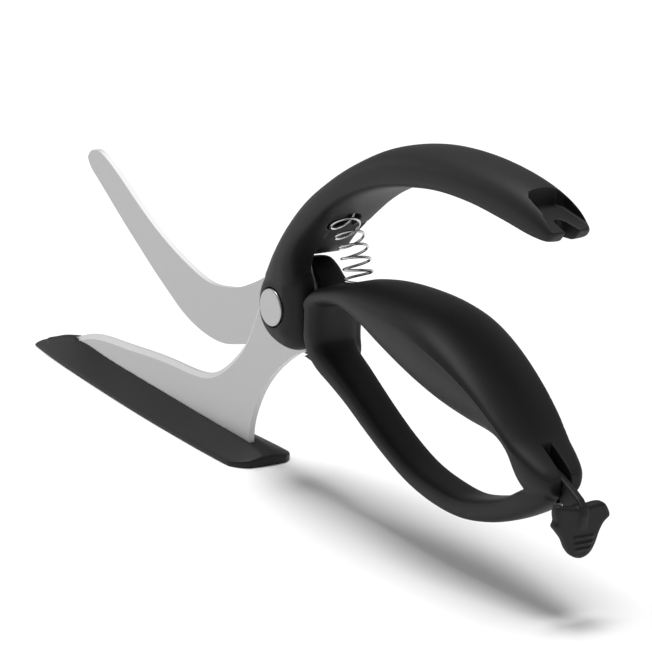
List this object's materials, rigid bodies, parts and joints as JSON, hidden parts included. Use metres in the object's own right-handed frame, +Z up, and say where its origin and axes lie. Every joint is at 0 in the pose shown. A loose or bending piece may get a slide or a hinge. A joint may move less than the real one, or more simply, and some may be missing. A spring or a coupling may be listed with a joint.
{
  "type": "pizza shears",
  "caption": "Sprung kitchen shears for cutting flat food: long upper blade, lower blade on a flat-soled plastic foot, looped lower handle, arched upper handle and swing latch.",
  "frame": {"origin": "on the sole of the foot, at the middle of its length and width, 86 mm ahead of the pivot", "axes": "+X along the shears from the blade tips to the handles, +Y across them, away from the side with the lower blade, +Z up from the sole"},
  "size_m": [0.3057, 0.031, 0.125],
  "materials": {
    "blade_steel": "finely ground stainless steel",
    "black_nylon": "black moulded nylon, fine matt texture",
    "rivet_steel": "satin steel",
    "spring_steel": "bright drawn wire"
  },
  "bodies": {
    "lower_half": {"lower_blade": "blade_steel", "blade_foot": "black_nylon", "upper_handle": "black_nylon", "pivot_rivet": "rivet_steel", "pivot_cap": "rivet_steel", "return_spring": "spring_steel"},
    "upper_half": {"upper_blade": "blade_steel", "lower_handle": "black_nylon", "latch_pin": "rivet_steel"},
    "latch": {"latch_lever": "black_nylon"}
  },
  "joints": [
    {"name": "blade_pivot", "type": "hinge", "parent": "lower_half", "child": "upper_half", "pos_m": [0.086, 0, 0.057], "axis": [0, -1, 0], "range_deg": [0, 26], "stiffness_Nm_per_rad": 1.2, "springref_deg": -20.05, "deforming": ["return_spring"]},
    {"name": "latch_hinge", "type": "hinge", "parent": "upper_half", "child": "latch", "pos_m": [0.217, 0, 0.04], "axis": [0, -1, 0], "range_deg": [0, 30]}
  ]
}
